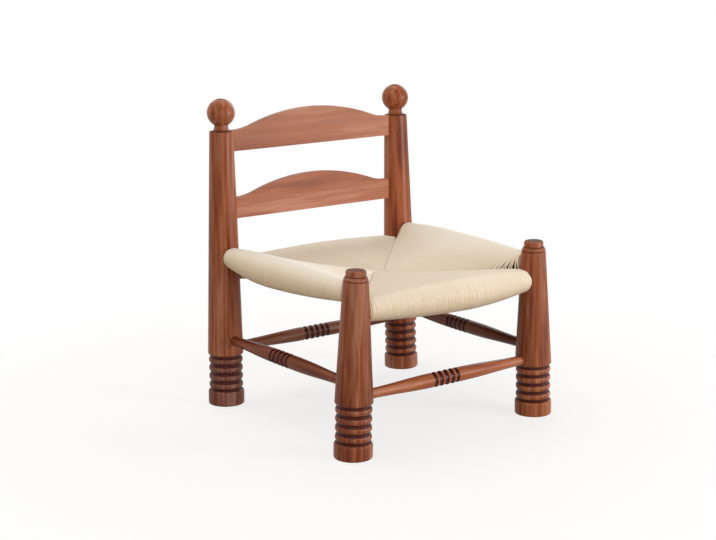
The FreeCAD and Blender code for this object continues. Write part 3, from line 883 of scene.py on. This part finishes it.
def add_end_turns(section, end, draw, tubes):
    """Flat turns of cord that close the end of a roll down to the rail's tenon."""
    inside = 1 if end == 0 else -1
    along = section.corners[end][section.axis] + inside * CORD_RADIUS
    rail = section.roll_point(along)
    turn = section.roll_radius(along) - END_TURN_DEPTH * CORD_RADIUS
    while turn > RAIL_TENON_RADIUS:
        first_ring = len(tubes.lengths)
        tone = draw.random()
        for step in range(END_TURN_STEPS):
            angle = 2 * math.pi * step / END_TURN_STEPS
            out = section.inward * math.cos(angle) + UP * math.sin(angle)
            tubes.add_ring(rail + out * turn, out, section.along_way, CORD_RADIUS, angle * turn, tone)
        for step in range(END_TURN_STEPS):
            tubes.join(first_ring + step, first_ring + (step + 1) % END_TURN_STEPS)
        turn -= 2 * CORD_RADIUS


def add_end_arcs(section, end, draw, tubes):
    """Part turns on the outer side of a roll's end, pressed aside where the post is in their way."""
    inside = 1 if end == 0 else -1
    corner = section.corners[end][section.axis]
    for count in range(1, END_ARCS + 1):
        along = corner - inside * (count - 0.5) * END_ARC_PITCH
        middle = section.roll_point(along)
        turn = section.roll_radius(corner) - CORD_RADIUS - END_ARC_DROP * count ** 2
        tone = draw.random()
        first_ring = len(tubes.lengths)
        for step in range(END_TURN_STEPS + 1):
            angle = math.pi + END_ARC_SPREAD * (2 * step / END_TURN_STEPS - 1)
            out = section.inward * math.cos(angle) + UP * math.sin(angle)
            place = middle + out * turn
            lack = max(CORD_RADIUS - section.shafts[end].clearance(place), 0.0)
            place += section.along_way * inside * lack
            tubes.add_ring(place, out, section.along_way, CORD_RADIUS, angle * turn, tone)
        tubes.skin(first_ring)


def map_cords(mesh, tubes):
    """Cord map, along each cord in metres and once round it, and the tone of each cord."""
    uv_map = mesh.uv_layers.new(name="cord")
    for polygon in mesh.polygons:
        corners = list(polygon.loop_indices)
        sides = [mesh.loops[corner].vertex_index % CORD_SIDES for corner in corners]
        wraps = len(sides) == 4 and max(sides) - min(sides) > 1
        for corner, side in zip(corners, sides):
            around = CORD_SIDES if wraps and side == 0 else side
            along = tubes.lengths[mesh.loops[corner].vertex_index // CORD_SIDES]
            uv_map.data[corner].uv = (along, around / CORD_SIDES)
    attribute = mesh.attributes.new("tone", "FLOAT", "POINT")
    attribute.data.foreach_set("value", tubes.tones)


def make_section(section, material, draw):
    tubes = Tubes()
    for number, fraction in enumerate(cord_fractions(section.cords)):
        add_cord(section, number, fraction, draw, tubes)
    for end in (0, 1):
        add_end_turns(section, end, draw, tubes)
        add_end_arcs(section, end, draw, tubes)
    mesh = bpy.data.meshes.new(section.name + "_cords")
    mesh.from_pydata(tubes.points, [], tubes.faces)
    mesh.validate()
    mesh.shade_smooth()
    map_cords(mesh, tubes)
    piece = add_object(section.name + "_cords", mesh)
    dress(piece, material)
    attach(piece, "root")
    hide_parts(section.name)


def make_seat():
    material = cord_material()
    sections = [
        Section("front", (0, 1, 0), (("front", "left"), ("front", "right")), CROSS_ROLL, CROSS_CORDS),
        Section("rear", (0, -1, 0), (("rear", "left"), ("rear", "right")), CROSS_ROLL, CROSS_CORDS),
        Section("left", (1, 0, 0), (("front", "left"), ("rear", "left")), SIDE_ROLL, SIDE_CORDS),
        Section("right", (-1, 0, 0), (("front", "right"), ("rear", "right")), SIDE_ROLL, SIDE_CORDS),
    ]
    draw = random.Random(WEAVE_SEED)
    for section in sections:
        make_section(section, material, draw)


# Stage

def seen_directly(graph):
    """1 for rays from the camera, from gloss and through glass, 0 for the rest."""
    path = graph.node("ShaderNodeLightPath")
    rays = [path.outputs["Is " + kind + " Ray"] for kind in ("Camera", "Glossy", "Transmission")]
    return graph.math("MAXIMUM", graph.math("MAXIMUM", rays[0], rays[1]), rays[2])


def floor_material():
    """Matte floor that keeps the shadow, and glows white to the eye away from the chair."""
    graph = Graph(bpy.data.materials.new("floor_white"))
    seen = seen_directly(graph)
    matte = graph.node("ShaderNodeBsdfDiffuse")
    graph.feed(matte.inputs["Color"], graph.mix(seen, FLOOR_BOUNCE, FLOOR_COLOR))
    away = graph.node("ShaderNodeVectorMath", operation="LENGTH")
    graph.feed(away.inputs[0], graph.place())
    glow_share = graph.ramp(away.outputs["Value"], *FLOOR_SHADE_REACH, FLOOR_GLOW_NEAR, 1.0)
    mixed = graph.node("ShaderNodeMixShader")
    graph.feed(mixed.inputs[0], graph.math("MULTIPLY", seen, glow_share))
    graph.feed(mixed.inputs[1], matte.outputs[0])
    graph.feed(mixed.inputs[2], graph.node("ShaderNodeEmission").outputs[0])
    graph.tree.links.new(mixed.outputs[0], graph.node("ShaderNodeOutputMaterial").inputs[0])
    return graph.owner


def make_floor():
    low = cad_low.z
    corners = [(x * FLOOR_HALF, y * FLOOR_HALF, low) for x, y in ((-1, -1), (1, -1), (1, 1), (-1, 1))]
    mesh = bpy.data.meshes.new("floor")
    mesh.from_pydata(corners, [], [(0, 1, 2, 3)])
    floor = add_object("floor", mesh)
    dress(floor, floor_material())


def make_world():
    """White to the eye; as a light it is brighter from the left."""
    world = bpy.data.worlds.new("studio")
    bpy.context.scene.world = world
    graph = Graph(world)
    seen = seen_directly(graph)
    side = graph.dot(graph.node("ShaderNodeTexCoord").outputs["Generated"], WORLD_BRIGHT_SIDE)
    ambient = graph.ramp(side, -1.0, 1.0, WORLD_DIM, WORLD_BRIGHT)
    background = graph.node("ShaderNodeBackground")
    graph.feed(background.inputs["Strength"], graph.math("MAXIMUM", ambient, seen))
    graph.feed(background.inputs["Color"], graph.mix(seen, WORLD_TINT, WHITE))
    output = graph.node("ShaderNodeOutputWorld")
    graph.tree.links.new(background.outputs[0], output.inputs[0])


def add_lamp(name, place, size, power, color):
    """Square lamp that faces the chair."""
    lamp = bpy.data.lights.new(name, "AREA")
    lamp.shape = "SQUARE"
    lamp.size = size
    lamp.energy = power
    lamp.color = color
    light = add_object(name, lamp)
    light.location = place
    light.rotation_euler = (LIGHT_AIM - Vector(place)).to_track_quat("-Z", "Y").to_euler()


def make_camera():
    back = Vector((
        math.sin(CAMERA_YAW) * math.cos(CAMERA_PITCH),
        -math.cos(CAMERA_YAW) * math.cos(CAMERA_PITCH),
        math.sin(CAMERA_PITCH),
    ))
    level_right = Vector((math.cos(CAMERA_YAW), math.sin(CAMERA_YAW), 0))
    level_up = back.cross(level_right)
    right = level_right * math.cos(CAMERA_ROLL) + level_up * math.sin(CAMERA_ROLL)
    up = level_up * math.cos(CAMERA_ROLL) - level_right * math.sin(CAMERA_ROLL)
    lens = bpy.data.cameras.new("camera")
    lens.sensor_width = SENSOR_WIDTH
    lens.lens = FOCAL_PIXELS * SENSOR_WIDTH / IMAGE_WIDTH
    camera = add_object("camera", lens)
    turn = Matrix((right, up, back)).transposed().to_4x4()
    camera.matrix_world = Matrix.Translation(CAMERA_PLACE) @ turn
    bpy.context.scene.camera = camera


dress_posts()
dress_bars()
dress_slats()
dress_hidden()
make_seat()
make_floor()
make_world()
for lamp_settings in LAMPS:
    add_lamp(*lamp_settings)
make_camera()
bpy.context.scene.view_settings.view_transform = "Standard"
